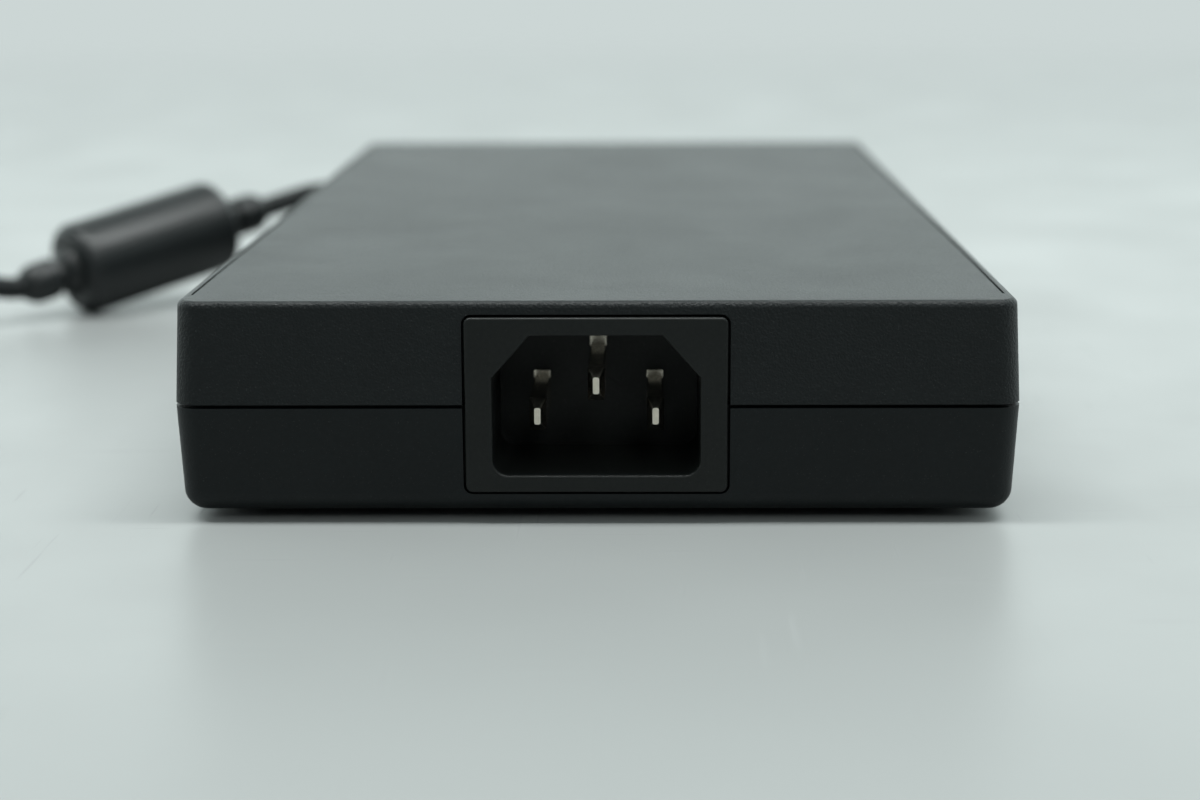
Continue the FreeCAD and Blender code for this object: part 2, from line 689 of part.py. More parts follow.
def output_capacitors():
    cans = []
    for x, y in ((36.0, 50.0), (36.0, 61.0), (36.0, 72.0), (25.0, 61.0), (25.0, 72.0)):
        profile = ((0, 4.4), (0.5, 4.8), (1.6, 4.8), (2.2, 4.4), (2.8, 4.8), (12.4, 4.8), (12.8, 4.4))
        cans.append(turned(profile, Vector(x, y, SEAT_Z), UP))
    return group(cans)


def output_leads():
    """The positive and negative conductors from the cable's root to the board."""
    wires = []
    for side in (-1, 1):
        start = Vector(EXIT_X + side * 2.0, REAR_Y - WALL - 3.1, EXIT_Z)
        finish = Vector(EXIT_X + side * 3.0, BOARD_REAR_Y - 8.0, SEAT_Z)
        wires.append(pipe(Part.Wire([curve([start, finish], FORWARD * -10, UP * -8)]), 1.3))
    return group(wires)


def thermal_pads():
    """Soft pads that carry heat from the two wound cores to the upper spreader."""
    top = UPPER_SPREADER_Z - SPREADER_THICKNESS - SHEET_GAP - INSULATOR_THICKNESS - STAND_OFF
    pads = []
    for core in (PFC_CORE, TRANSFORMER_CORE):
        base = SEAT_Z + core["height"] + STAND_OFF
        width, length = core["width"] - 4, core["length"] - 4
        pads.append(standing_block(core["x"], core["y"], width, length, top - base, base))
    return group(pads)


# ---- output cable ----------------------------------------------------------------------------------------
FERRITE_AXIS = heading(FERRITE_HEADING, FERRITE_TILT)
FERRITE_FAR_END = FERRITE_NEAR_END + FERRITE_AXIS * FERRITE_LENGTH
LIFT_PIVOT = FERRITE_FAR_END + FERRITE_AXIS * (RELIEF_LENGTH + LIFT_PIVOT_GAP)
SWING_PIVOT = FERRITE_NEAR_END - FERRITE_AXIS * (RELIEF_LENGTH + SWING_PIVOT_GAP)
LINK_AXIS = heading(LINK_HEADING, LINK_TILT)
SECOND_SWING_PIVOT = SWING_PIVOT + LINK_AXIS * LINK_LENGTH
EXIT_PIVOTS = [Vector(EXIT_X, y, EXIT_Z) for y in EXIT_PIVOTS_Y]
TAIL_X = COIL_CENTRE_X - (COIL_RADIUS - COIL_TURNS * COIL_PITCH)
PLUG_PIVOTS = [Vector(TAIL_X, y, PLUG_AXIS_Z) for y in PLUG_PIVOTS_Y]
PLUG_REAR_Y = PLUG_PIVOTS_Y[-1] - EXIT_SLOT
PLUG_FACE_Y = PLUG_REAR_Y - PLUG_LENGTH


def exit_relief_base():
    """The moulded root of the cable: a flange held behind the end wall, a neck through it and a collar."""
    inner = REAR_Y - WALL - UPPER_DRAFT
    last = EXIT_PIVOTS_Y[0] - EXIT_SLOT
    profile = (
        (inner - 2.4, EXIT_FLANGE_RADIUS), (inner - STAND_OFF, EXIT_FLANGE_RADIUS),
        (inner - STAND_OFF, EXIT_NECK_RADIUS), (REAR_Y + STAND_OFF, EXIT_NECK_RADIUS),
        (REAR_Y + STAND_OFF, EXIT_COLLAR_RADIUS), (last, EXIT_COLLAR_RADIUS - 0.3),
    )
    return with_cup(turned(profile, Vector(EXIT_X, 0, EXIT_Z), FORWARD), EXIT_PIVOTS[0], EXIT_CORE_RADIUS)


def exit_relief_ring():
    """The free ring of the exit relief, from its own pivot to the slot before the tip."""
    here, after = EXIT_PIVOTS_Y
    profile = (
        (here, EXIT_CORE_RADIUS), (here + EXIT_SLOT, EXIT_CORE_RADIUS),
        (here + EXIT_SLOT, EXIT_RING_RADIUS), (after - EXIT_SLOT, EXIT_RING_RADIUS - 0.5),
    )
    ring = turned(profile, Vector(EXIT_X, 0, EXIT_Z), FORWARD)
    ring = with_ball(ring, EXIT_PIVOTS[0], EXIT_CORE_RADIUS)
    return with_cup(ring, EXIT_PIVOTS[1], EXIT_CORE_RADIUS)


def exit_relief_tip():
    start = EXIT_PIVOTS_Y[-1]
    profile = (
        (start, EXIT_CORE_RADIUS), (start + EXIT_SLOT, EXIT_CORE_RADIUS),
        (start + EXIT_SLOT, EXIT_RING_RADIUS - 0.7), (EXIT_TIP_Y, CABLE_RADIUS + 0.5),
    )
    tip = turned(profile, Vector(EXIT_X, 0, EXIT_Z), FORWARD)
    return with_ball(tip, EXIT_PIVOTS[-1], EXIT_CORE_RADIUS)


def cable_to_ferrite():
    """From the exit relief round the casing's rear corner to the flexing point behind the ferrite."""
    start = Vector(EXIT_X, EXIT_TIP_Y + STAND_OFF, EXIT_Z)
    end = LIFT_PIVOT + FERRITE_AXIS * STRAIGHT_END
    crest = start + Vector(-EXIT_LOOP_RADIUS, EXIT_LOOP_RADIUS, 0)
    beside_corner = start + Vector(-2 * EXIT_LOOP_RADIUS, 0, 0)
    loop = Part.Arc(start, crest, beside_corner).toShape()
    to_ferrite = curve([beside_corner, end], FORWARD * -1, FERRITE_AXIS * -1)
    straight = rod(end, FERRITE_AXIS * -1, STRAIGHT_END - JOINT_SETBACK, CABLE_RADIUS)
    cable = pipe(Part.Wire([loop, to_ferrite]), CABLE_RADIUS)
    return union([cable, with_cup(straight, LIFT_PIVOT, CABLE_RADIUS)])


def relief_profile(end):
    """Boss, groove and tapered collar that carry the cable out of a moulding, as (distance, radius)."""
    return [
        (0.0, 4.6), (1.0, 4.3), (1.8, 3.5), (2.3, 2.9), (3.1, 2.9), (3.7, 3.7), (7.4, 3.7),
        (8.6, 3.3), (end, CABLE_RADIUS + 0.3),
    ]


def ferrite_overmould():
    """The moulded sleeve round the ferrite, with a relief at each end."""
    relief = relief_profile(RELIEF_LENGTH)
    round_end = [
        (FERRITE_END_RADIUS * (1 - math.cos(a)), FERRITE_RADIUS - FERRITE_END_RADIUS * (1 - math.sin(a)))
        for a in (math.radians(15.0 * step) for step in range(7))
    ]
    near_side = [(-distance, radius) for distance, radius in reversed(relief)] + round_end
    far_side = [(FERRITE_LENGTH - distance, radius) for distance, radius in reversed(near_side)]
    sleeve = turned(near_side + far_side, FERRITE_NEAR_END, FERRITE_AXIS)
    bore_start = FERRITE_NEAR_END - FERRITE_AXIS * (RELIEF_LENGTH + 1)
    bore_length = FERRITE_LENGTH + 2 * RELIEF_LENGTH + 2
    bore = rod(bore_start, FERRITE_AXIS, bore_length, CABLE_RADIUS + SLEEVE_CLEARANCE)
    pocket_length = FERRITE_CORE_LENGTH + 2 * STAND_OFF
    pocket_start = FERRITE_NEAR_END + FERRITE_AXIS * ((FERRITE_LENGTH - pocket_length) / 2)
    pocket = rod(pocket_start, FERRITE_AXIS, pocket_length, FERRITE_CORE_RADIUS + SLEEVE_CLEARANCE)
    return sleeve.cut(union([bore, pocket]))


def ferrite_core():
    start = FERRITE_NEAR_END + FERRITE_AXIS * (FERRITE_LENGTH - FERRITE_CORE_LENGTH) * 0.5
    ring = rod(start, FERRITE_AXIS, FERRITE_CORE_LENGTH, FERRITE_CORE_RADIUS)
    return ring.cut(rod(start, FERRITE_AXIS, FERRITE_CORE_LENGTH, FERRITE_BORE_RADIUS))


def cable_through_ferrite():
    """From the flexing point behind the ferrite, through its bore, to the one in front of it."""
    length = (LIFT_PIVOT - SWING_PIVOT).Length - JOINT_SETBACK
    cable = rod(LIFT_PIVOT, FERRITE_AXIS * -1, length, CABLE_RADIUS)
    return with_cup(with_ball(cable, LIFT_PIVOT, CABLE_RADIUS), SWING_PIVOT, CABLE_RADIUS)


def cable_link():
    cable = rod(SWING_PIVOT, LINK_AXIS, LINK_LENGTH - JOINT_SETBACK, CABLE_RADIUS)
    return with_cup(with_ball(cable, SWING_PIVOT, CABLE_RADIUS), SECOND_SWING_PIVOT, CABLE_RADIUS)


def coil_turns():
    """A quarter turn, then straight runs and half-circles, each half-circle half a pitch tighter."""
    z, radius = CABLE_REST_Z, COIL_RADIUS
    slant = radius * math.sqrt(0.5)
    crest = Vector(COIL_CENTRE_X, COIL_NORTH_Y + radius, z)
    middle = Vector(COIL_CENTRE_X - slant, COIL_NORTH_Y + slant, z)
    place = Vector(COIL_CENTRE_X - radius, COIL_NORTH_Y, z)
    edges = [Part.Arc(crest, middle, place).toShape()]
    for half_turn in range(2 * COIL_TURNS):
        side = -1 if half_turn % 2 == 0 else 1  # the west run heads south, the east run north
        corner = Vector(place.x, COIL_SOUTH_Y if side < 0 else COIL_NORTH_Y, z)
        radius -= COIL_PITCH / 2
        crest = corner + Vector(-side * radius, side * radius, 0)
        beyond = corner + Vector(-2 * side * radius, 0, 0)
        edges.append(Part.makeLine(place, corner))
        edges.append(Part.Arc(corner, crest, beyond).toShape())
        place = beyond
    return edges


def coiled_cable():
    """The run from the second swing point into a flat coil, and the tail that crosses over it to the plug."""
    start = SECOND_SWING_PIVOT
    crest = Vector(COIL_CENTRE_X, COIL_NORTH_Y + COIL_RADIUS, CABLE_REST_Z)
    entry = curve([start, crest], LINK_AXIS * 24, Vector(-24, 0, 0))
    tail_start = Vector(TAIL_X, COIL_NORTH_Y, CABLE_REST_Z)
    over_inner_turn = Vector(TAIL_X, COIL_SOUTH_Y - 4.0, CROSSING_Z)
    over_outer_turn = Vector(TAIL_X, COIL_SOUTH_Y - COIL_RADIUS + 1.0, CROSSING_Z)
    tail_end = PLUG_PIVOTS[0] + Vector(0, JOINT_SETBACK, 0)
    towards_plug = Vector(0, -30, 0)
    tail = curve([tail_start, over_inner_turn, over_outer_turn, tail_end], towards_plug, towards_plug)
    cable = pipe(Part.Wire([entry, *coil_turns(), tail]), CABLE_RADIUS)
    return with_cup(with_ball(cable, start, CABLE_RADIUS), PLUG_PIVOTS[0], CABLE_RADIUS)


def plug_relief_ring():
    """The flexing ring between the cable's tail and the plug."""
    length = PLUG_PIVOTS_Y[0] - PLUG_PIVOTS_Y[1]
    profile = (
        (0, CABLE_RADIUS), (EXIT_SLOT, CABLE_RADIUS), (EXIT_SLOT, PLUG_RELIEF_RADIUS - 0.5),
        (length - EXIT_SLOT, PLUG_RELIEF_RADIUS),
    )
    ring = with_ball(turned(profile, PLUG_PIVOTS[0], FORWARD * -1), PLUG_PIVOTS[0], CABLE_RADIUS)
    return with_cup(ring, PLUG_PIVOTS[1], EXIT_CORE_RADIUS)


def plug_overmould():
    """The plug's grip: a waist with two finger grooves, a full-width body and a stepped nose."""
    start = EXIT_SLOT
    face = start + PLUG_LENGTH
    profile = (
        (0, EXIT_CORE_RADIUS), (start, EXIT_CORE_RADIUS), (start, 3.8),
        (start + 4.0, 4.3), (start + 6.5, 5.4),
        (start + 8.0, PLUG_RADIUS), (start + 10.0, PLUG_RADIUS), (start + 10.6, PLUG_RADIUS - 0.5),
        (start + 11.4, PLUG_RADIUS - 0.5), (start + 12.0, PLUG_RADIUS), (start + 13.4, PLUG_RADIUS),
        (start + 14.0, PLUG_RADIUS - 0.5), (start + 14.8, PLUG_RADIUS - 0.5), (start + 15.4, PLUG_RADIUS),
        (face - 0.6, PLUG_RADIUS), (face, PLUG_RADIUS - 0.6),
    )
    grip = turned(profile, PLUG_PIVOTS[1], FORWARD * -1)
    grip = with_ball(grip, PLUG_PIVOTS[1], EXIT_CORE_RADIUS)
    seat_start = Vector(TAIL_X, PLUG_FACE_Y + BARREL_INSET, PLUG_AXIS_Z)
    seat = rod(seat_start, FORWARD * -1, 2 * BARREL_INSET, BARREL_NECK_RADIUS)
    return grip.cut(seat)


def plug_tube(outer, inner, rear, front):
    """A tube on the plug's axis. The places are measured forwards from the face of the grip."""
    start = Vector(TAIL_X, PLUG_FACE_Y - rear, PLUG_AXIS_Z)
    tube = rod(start, FORWARD * -1, front - rear, outer)
    return tube.cut(rod(start, FORWARD * -1, front - rear, inner)) if inner else tube


INSULATOR_OUTER = BARREL_RADIUS - BARREL_WALL - SLEEVE_CLEARANCE
SLEEVE_OUTER = BARREL_BORE_RADIUS + 0.35
SIGNAL_PIN_BOSS = 4.0


def plug_barrel():
    """The outer contact, with a slightly slimmer neck where the grip holds it."""
    inner = BARREL_RADIUS - BARREL_WALL
    neck = plug_tube(BARREL_NECK_RADIUS, inner, -BARREL_INSET, BARREL_NECK_LENGTH)
    return union([neck, plug_tube(BARREL_RADIUS, inner, BARREL_NECK_LENGTH, BARREL_LENGTH)])


def plug_inner_sleeve():
    return plug_tube(SLEEVE_OUTER, BARREL_BORE_RADIUS, -SIGNAL_PIN_BOSS, BARREL_LENGTH)


def plug_insulator():
    """Keeps the two sleeves apart and holds the signal pin."""
    back = plug_tube(INSULATOR_OUTER, 0, -BARREL_INSET, -SIGNAL_PIN_BOSS - SLEEVE_CLEARANCE)
    wall = plug_tube(INSULATOR_OUTER, SLEEVE_OUTER + SLEEVE_CLEARANCE, -BARREL_INSET, BARREL_LENGTH - 0.3)
    boss = plug_tube(BARREL_BORE_RADIUS - SLEEVE_CLEARANCE, 0, -BARREL_INSET, 0.0)
    return union([back, wall, boss]).cut(plug_signal_pin())


def plug_signal_pin():
    return plug_tube(SIGNAL_PIN_RADIUS, 0, -SIGNAL_PIN_BOSS, BARREL_LENGTH - 1.5)


# ---- the whole adapter -----------------------------------------------------------------------------------
NODES = {
    "top_shell": top_shell(),
    "bottom_shell": bottom_shell(),
    "rubber_feet": rubber_feet(),
    "rating_label": rating_label(),
    "inlet_housing": inlet_housing(),
    "line_pin": line_pin(),
    "neutral_pin": neutral_pin(),
    "earth_pin": earth_pin(),
    "line_wire": inlet_wire(PIN_SPACING / 2, LINE_PIN_Z, (14.0, -66.0)),
    "neutral_wire": inlet_wire(-PIN_SPACING / 2, LINE_PIN_Z, (-14.0, -66.0)),
    "earth_wire": inlet_wire(0.0, EARTH_PIN_Z, (0.0, -64.0)),
    "lower_heat_spreader": lower_heat_spreader(),
    "lower_insulator": lower_insulator(),
    "upper_heat_spreader": upper_heat_spreader(),
    "upper_insulator": upper_insulator(),
    "main_board": main_board(),
    "fuse": fuse(),
    "varistor": standing_disc(-26.0, -84.0, 5.0, 4.0),
    "inrush_thermistor": standing_disc(-26.0, -70.0, 5.5, 4.6),
    "x_capacitors": group([
        film_capacitor(29.0, -84.0, 18.0, 8.5, 12.5),
        film_capacitor(-26.0, -48.0, 8.5, 18.0, 12.5),
    ]),
    "y_capacitors": group([standing_disc(14.0, -44.0, 3.6, 3.0), standing_disc(14.0, -36.0, 3.6, 3.0)]),
    "common_mode_choke_cores": common_mode_choke_cores(),
    "common_mode_choke_windings": common_mode_choke_windings(),
    "bridge_rectifier": standing_block(30.0, -42.0, 20.0, 3.6, 12.0),
    "pfc_choke_core": pot_core(**PFC_CORE),
    "pfc_choke_winding": core_winding(PFC_CORE, 0.4, 6),
    "pfc_heat_sink": heat_sink(-12.4, -9.0, 34.0),
    "pfc_transistors": power_transistors([(-9.3, -20.0), (-9.3, 0.0)]),
    "bulk_capacitors": bulk_capacitors(),
    "resonant_capacitors": group(film_capacitor(x, 22.0, 5.5, 12.0, 11.0) for x in (25.0, 31.5)),
    "transformer_core": pot_core(**TRANSFORMER_CORE),
    "transformer_bobbin": transformer_bobbin(),
    "transformer_windings": core_winding(TRANSFORMER_CORE, 1.1, 5),
    "primary_heat_sink": heat_sink(-26.0, 33.0, 36.0, 5),
    "primary_transistors": power_transistors([(-29.1, 24.0), (-29.1, 38.0)]),
    "optocouplers": group(standing_block(-10.0 + 7.0 * i, 60.0, 4.6, 6.6, 3.6) for i in range(3)),
    "controller_chips": chips(),
    "rectifier_transistors": group(standing_block(2.0 + 8.0 * i, 72.0, 5.2, 6.2, 1.2) for i in range(2)),
    "output_capacitors": output_capacitors(),
    "output_choke_core": ring_core(-8.0, 76.0, 5.6, 3.0, 7.0),
    "output_choke_winding": ring_winding(-8.0, 76.0, 5.6, 3.0, 7.0, 0.8),
    "output_leads": output_leads(),
    "thermal_pads": thermal_pads(),
    "exit_relief_base": exit_relief_base(),
    "exit_relief_ring": exit_relief_ring(),
    "exit_relief_tip": exit_relief_tip(),
    "cable_to_ferrite": cable_to_ferrite(),
    "ferrite_overmould": ferrite_overmould(),
    "ferrite_core": ferrite_core(),
    "cable_through_ferrite": cable_through_ferrite(),
    "cable_link": cable_link(),
    "coiled_cable": coiled_cable(),
    "plug_relief_ring": plug_relief_ring(),
    "plug_overmould": plug_overmould(),
    "plug_barrel": plug_barrel(),
    "plug_insulator": plug_insulator(),
    "plug_inner_sleeve": plug_inner_sleeve(),
    "plug_signal_pin": plug_signal_pin(),
}

os.makedirs("parts", exist_ok=True)
for name, shape in NODES.items():
    if not shape.Solids or not shape.isValid():
        raise ValueError(f"{name} is not a valid solid")
    shape.exportStep(f"parts/{name}.step")
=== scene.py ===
import json
import math

import bpy
import numpy as np
from mathutils import Matrix, Vector


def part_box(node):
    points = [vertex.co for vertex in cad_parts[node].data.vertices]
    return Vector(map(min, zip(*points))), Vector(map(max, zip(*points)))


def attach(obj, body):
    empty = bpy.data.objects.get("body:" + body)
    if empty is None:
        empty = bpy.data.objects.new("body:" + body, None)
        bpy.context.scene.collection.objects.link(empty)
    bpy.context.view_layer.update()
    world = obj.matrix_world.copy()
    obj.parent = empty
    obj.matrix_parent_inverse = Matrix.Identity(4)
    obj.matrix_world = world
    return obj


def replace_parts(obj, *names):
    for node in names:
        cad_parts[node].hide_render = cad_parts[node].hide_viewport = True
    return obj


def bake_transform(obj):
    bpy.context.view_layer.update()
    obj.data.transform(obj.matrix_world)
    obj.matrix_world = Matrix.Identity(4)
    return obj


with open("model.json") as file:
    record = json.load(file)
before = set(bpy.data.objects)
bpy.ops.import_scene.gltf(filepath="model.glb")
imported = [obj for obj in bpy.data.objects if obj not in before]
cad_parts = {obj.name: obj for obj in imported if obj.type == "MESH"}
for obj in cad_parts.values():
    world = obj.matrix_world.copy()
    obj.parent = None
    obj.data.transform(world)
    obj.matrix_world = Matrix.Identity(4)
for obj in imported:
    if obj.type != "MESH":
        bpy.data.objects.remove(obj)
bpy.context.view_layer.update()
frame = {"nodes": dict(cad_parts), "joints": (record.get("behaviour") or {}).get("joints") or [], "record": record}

# The looks of a slim laptop power adapter: casing, mains inlet, output cable with its ferrite, coil and plug.
# Metres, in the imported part's frame: +Z is up, the inlet faces -Y, and the cable leaves towards +Y.

MM = 0.001
UP = Vector((0.0, 0.0, 1.0))

# ---- the cable's sizes -----------------------------------------------------------------------------------
CABLE_RADIUS = 2.0 * MM
RING_POINTS = 40  # round every cable and relief
LINE_STEP = 0.5 * MM
SHORTEST_GAP = 0.4 * MM  # between two rings of a packed cable
LONGEST_GAP = 45.0 * MM  # the same along a straight
CURVED_GAP = 12.0 * MM  # the same along a curve
CURVE_ALLOWANCE = 0.25  # how far aside the next ring may be, as a share of how far ahead it is
STRAIGHT_TOLERANCE = 0.8 * MM
TRACE_SLACK = 0.1 * MM
RING_DEPTH = 0.2 * MM  # points this close along the line belong to one ring
ARCH_LEAD, ARCH_RISE, ARCH_FALL = 5.5 * MM, 10.0 * MM, 60.0 * MM  # before the first bend, then up and down
ARCH_HEIGHT = 2.6 * MM
LINE_SMOOTHING = 12  # passes over the line's points
CABLE_STEP = 1.25 * MM  # between rings on a plain run
BEND_STEP = 0.35 * MM  # between rings where the cable flexes
GRIP_STEP = 0.7 * MM  # between rings on the plug's grip
BEND_REACH = 1.9 * MM  # half of each flexing stretch
RUN_MARGIN = 6.0 * MM  # from a pivot to the end of the piece that flexes there
FERRITE_MARGIN = 3.0 * MM  # the same inside the ferrite's reliefs
TIP_OVERLAP = 2.0 * MM  # how deep the cable reaches into the exit relief's tip
CORNER_ROUNDING = 0.28 * MM
CORNER_STEPS = 4
LONGEST_ROUNDING = 0.4  # a rounded corner's share of the side next to it
FLAT_GUARD = 0.3  # from a rounded corner to the point that keeps its side flat, as a share of the rounding
SEAM_HEIGHT = 0.05 * MM  # the mould's parting line along a relief
SLOT_HALF = 0.9 * MM  # half of the slot between two rings of a relief
SLOT_REACH = SLOT_HALF - CORNER_ROUNDING / 2

EXIT_FLANGE_RADIUS = 6.2 * MM
EXIT_FLANGE_DEPTH = 2.35 * MM
EXIT_NECK_RADIUS = 4.4 * MM
EXIT_COLLAR_RADIUS = 5.2 * MM
EXIT_CORE_RADIUS = 2.7 * MM
EXIT_RING_RADII = (4.8 * MM, 4.3 * MM)
EXIT_TIP_RADIUS = 4.1 * MM
EXIT_TIP_END_RADIUS = 2.5 * MM
COLLAR_TAPER = 0.3 * MM
WALL_GAP = 0.05 * MM  # between the casing's rear wall and the relief's collar

PLUG_RING_RADII = (2.9 * MM, 3.4 * MM)
PLUG_WAIST_RADIUS = 3.8 * MM
PLUG_SHOULDER_RADII = (4.3 * MM, 5.4 * MM)
PLUG_GROOVE_DEPTH = 0.5 * MM
PLUG_END_EDGE = 0.6 * MM
BARREL_NECK_RADIUS = 3.4 * MM

INLET_EDGE = 0.12 * MM
WELD_GAP = 0.0005 * MM
SHARP_ANGLE = math.radians(40)

pivots = {joint["name"]: Vector(joint["pos_m"]) for joint in frame["joints"]}


# ---- materials -------------------------------------------------------------------------------------------
RIDGE_SCALE = 0.1 * math.pi  # the wave texture's scale for one ridge a metre
SCRATCH_LEVELS = (0.5, 0.74)  # the noise level that a scratch starts at: scratches everywhere, and none
SCRATCH_EDGE = 0.05
SCRATCH_STRETCHES = ((1.0, 0.035, 1.0), (0.04, 1.0, 1.0))
SCRATCH_TURNS = (0.6, 0.25)
SPECK_LEVELS = (0.62, 0.78)
SPECK_EDGE = 0.03

PATCH_GRAIN = 0.5  # millimetres
PATCH_RANGE = (0.75, 1.25)
SCUFF_WIDTH = 0.35  # millimetres
SCUFF_LIFT = 0.35  # how much paler than the surface a scuff is
SCUFF_TINT = 0.12
SCUFF_POLISH = 0.08
SMUDGE_SIZE = 1.7  # times the size of the colour's patches
SMUDGE_WARP = 0.6
NOISE_RANGE = (0.3, 0.7)  # where most of a noise's values lie
DUST_SIZE = 0.16  # millimetres
DUST_COLOUR = (0.42, 0.43, 0.42)
DUST_ROUGHNESS = 0.3


class Graph:
    """The shader nodes of one material or of the world. Patterns are sized in millimetres."""

    def __init__(self, owner):
        owner.use_nodes = True
        self.tree = owner.node_tree
        self.place = self.add("ShaderNodeTexCoord").outputs["Object"]

    def add(self, kind, inputs=None, **settings):
        node = self.tree.nodes.new(kind)
        for name, value in settings.items():
            setattr(node, name, value)
        for key, value in (inputs or {}).items():
            self.feed(node.inputs[key], value)
        return node

    def feed(self, socket, value):
        if isinstance(value, bpy.types.NodeSocket):
            self.tree.links.new(value, socket)
        elif hasattr(value, "__len__") and len(value) == 3 and socket.type == "RGBA":
            socket.default_value = (*value, 1.0)
        else:
            socket.default_value = value

    def stretched(self, stretch, turn=0.0):
        return self.add(
            "ShaderNodeMapping", {"Vector": self.place, "Scale": stretch, "Rotation": (0.0, 0.0, turn)}
        ).outputs[0]

    def noise(self, size, detail=3.0, stretch=None, turn=0.0, distortion=0.0):
        """Soft random patches of about this size, from 0 to 1."""
        place = self.stretched(stretch, turn) if stretch else self.place
        inputs = {"Vector": place, "Scale": 1 / (size * MM), "Detail": detail, "Distortion": distortion}
        return self.add("ShaderNodeTexNoise", inputs).outputs[0]

    def cells(self, size):
        """The distance from the middle of random cells, 0 at the middle."""
        inputs = {"Vector": self.place, "Scale": 1 / (size * MM)}
        return self.add("ShaderNodeTexVoronoi", inputs).outputs["Distance"]

    def bands(self, pitch, direction, distortion=0.0):
        """Regular ridges at this pitch, from 0 to 1."""
        inputs = {"Vector": self.place, "Scale": RIDGE_SCALE / (pitch * MM), "Distortion": distortion}
        return self.add("ShaderNodeTexWave", inputs, bands_direction=direction).outputs["Fac"]

    def maths(self, operation, first, second=0.0):
        return self.add("ShaderNodeMath", {0: first, 1: second}, operation=operation).outputs[0]

    def spread(self, value, low, high, to_low=0.0, to_high=1.0):
        """Maps low..high to to_low..to_high, held at both ends."""
        inputs = {"Value": value, "From Min": low, "From Max": high, "To Min": to_low, "To Max": to_high}
        return self.add("ShaderNodeMapRange", inputs).outputs[0]

    def mix(self, factor, first, second):
        node = self.add("ShaderNodeMix", {0: factor, 6: first, 7: second}, data_type="RGBA")
        return node.outputs[2]

    def total(self, *layers):
        """The sum of several patterns, each given with its depth in millimetres, in metres."""
        height = 0.0
        for pattern, depth in layers:
            height = self.maths("ADD", self.maths("MULTIPLY", pattern, depth * MM), height)
        return height

    def hairlines(self, size, share):
        """Short fine scratches in two directions; share is about how much of the surface they cover."""
        most, none = SCRATCH_LEVELS
        limit = none + (most - none) * share
        directions = zip(SCRATCH_STRETCHES, SCRATCH_TURNS)
        one, other = (self.noise(size, 2.0, stretch, turn) for stretch, turn in directions)
        one, other = (self.spread(marks, limit, limit + SCRATCH_EDGE) for marks in (one, other))
        return self.maths("MAXIMUM", one, other)

    def specks(self, size, share):
        """Small round spots; share is about how much of the surface they cover."""
        most, none = SPECK_LEVELS
        limit = none + (most - none) * share
        return self.spread(self.noise(size, 0.0), limit, limit + SPECK_EDGE)


MATERIALS = {}


def finish(slot, tones, roughness, relief, metallic=0.0, blotch=11.0, dust=0.0, wear=0.25, shine=0.5):
    """Makes one slot's material: two tones in patches, a roughness range, a relief, dust and fine wear.

    relief(graph) gives the height in metres.
    """
    material = bpy.data.materials.new(slot)
    graph = Graph(material)
    shader = graph.tree.nodes["Principled BSDF"]
    patches = graph.maths("ADD", graph.noise(blotch, 4.0), graph.noise(PATCH_GRAIN, 1.0))
    colour = graph.mix(graph.spread(patches, *PATCH_RANGE), *tones)
    scuffs = graph.maths("MULTIPLY", graph.hairlines(SCUFF_WIDTH, wear), wear)
    paler = [min(1.0, SCUFF_LIFT + channel) for channel in tones[1]]
    colour = graph.mix(graph.maths("MULTIPLY", scuffs, SCUFF_TINT), colour, paler)
    smudges = graph.noise(blotch * SMUDGE_SIZE, 5.0, distortion=SMUDGE_WARP)
    rough = graph.spread(smudges, *NOISE_RANGE, *roughness)
    rough = graph.maths("SUBTRACT", rough, graph.maths("MULTIPLY", scuffs, SCUFF_POLISH))
    if dust:
        flecks = graph.maths("MULTIPLY", graph.specks(DUST_SIZE, dust), dust)
        colour = graph.mix(flecks, colour, DUST_COLOUR)
        rough = graph.maths("ADD", rough, graph.maths("MULTIPLY", flecks, DUST_ROUGHNESS))
    graph.feed(shader.inputs["Base Color"], colour)
    graph.feed(shader.inputs["Roughness"], rough)
    graph.feed(shader.inputs["Metallic"], metallic)
    graph.feed(shader.inputs["Specular IOR Level"], shine)
    bump = graph.add("ShaderNodeBump", {"Strength": 1.0, "Distance": 1.0, "Height": relief(graph)})
    graph.feed(shader.inputs["Normal"], bump.outputs[0])
    MATERIALS[slot] = material


# Each relief below is a sum of patterns, given with a size or pitch and a depth in millimetres.
def eroded(grain, depth):
    """The spark-eroded grain of a moulded casing: rounded pits over a softer swell."""
    pit_size, pit_depth = grain * 1.6, depth * 0.6
    swell_size, swell_depth = 6.0, 0.01
    return lambda g: g.total(
        (g.noise(grain, 2.0), depth), (g.cells(pit_size), pit_depth), (g.noise(swell_size, 1.0), swell_depth)
    )


def smooth(depth=0.002, grain=0.3):
    """A smooth moulding with a faint orange-peel skin."""
    return lambda g: g.total((g.noise(grain, 3.0), depth), (g.noise(2.5, 2.0), depth * 4))


def rolled(stretch):
    """Rolled or drawn metal with fine lines along one direction."""
    return lambda g: g.total((g.noise(0.25, 3.0, stretch), 0.003), (g.noise(4.0, 2.0), 0.01))


def wound(pitch, direction):
    """Turns of enamelled wire side by side."""
    return lambda g: g.total((g.bands(pitch, direction, 0.4), 0.12), (g.noise(0.3, 2.0), 0.004))


BLACK = ((0.0058, 0.0080, 0.0086), (0.0076, 0.0101, 0.0108))
RUBBER = ((0.0070, 0.0092, 0.0098), (0.0105, 0.0132, 0.0139))

